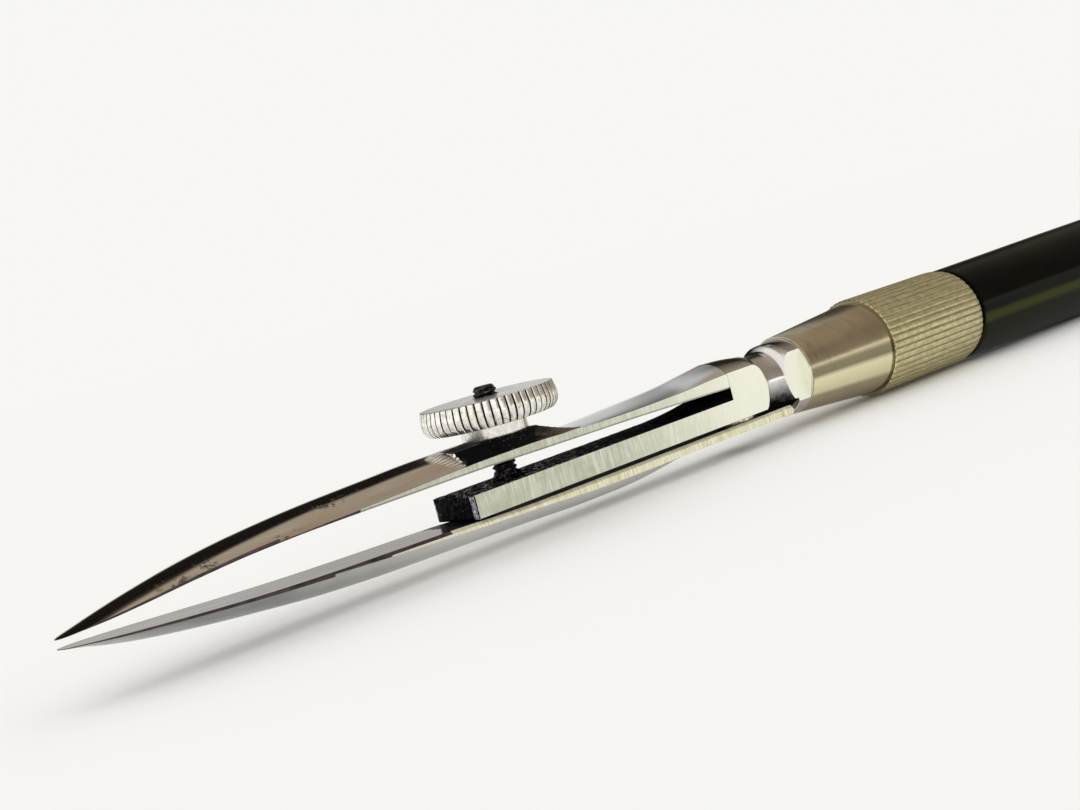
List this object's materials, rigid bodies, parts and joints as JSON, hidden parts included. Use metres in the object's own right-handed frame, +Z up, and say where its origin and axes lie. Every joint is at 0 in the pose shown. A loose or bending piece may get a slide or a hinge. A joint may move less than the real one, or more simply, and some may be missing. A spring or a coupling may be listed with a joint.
{
  "type": "ruling pen",
  "caption": "Drawing pen with two steel blades for ink, a thumb nut for the line width, a knurled ferrule and a round black handle.",
  "frame": {"origin": "middle of the length, under the axis of the round handle, on the surface the pen lies on", "axes": "+X from the blade tips to the handle's end, +Z up the adjusting screw towards the nut"},
  "size_m": [0.15, 0.008, 0.0088],
  "materials": {
    "steel": "ground and polished steel, with dried ink",
    "nickel_silver": "turned nickel silver, tarnished",
    "black_rod": "polished black rod"
  },
  "bodies": {
    "pen": {"bow": "steel", "adjusting_screw": "steel", "pivot_screw": "steel", "pivot_washer": "nickel_silver", "ferrule": "nickel_silver", "handle": "black_rod"},
    "spring_blade": {"upper_blade": "steel"},
    "nut": {"thumb_nut": "nickel_silver"},
    "swing_blade": {"lower_blade": "steel"}
  },
  "joints": [
    {"name": "nut_spin", "type": "hinge", "parent": "spring_blade", "child": "nut", "pos_m": [-0.04761, 0, 0.00716], "axis": [0, 0, 1], "range_deg": [-190, 350]},
    {"name": "blade_flex", "type": "hinge", "parent": "pen", "child": "spring_blade", "pos_m": [-0.03091, 0, 0.005], "axis": [0, 1, 0], "range_deg": [-0.55, 1.01]},
    {"name": "lower_blade_swing", "type": "hinge", "parent": "pen", "child": "swing_blade", "pos_m": [-0.02961, 0, 0.00157], "axis": [0, 0, 1], "range_deg": [0, 95]}
  ],
  "couplings": [
    {"joint": "blade_flex", "follows": "nut_spin", "ratio": 0.002859}
  ]
}
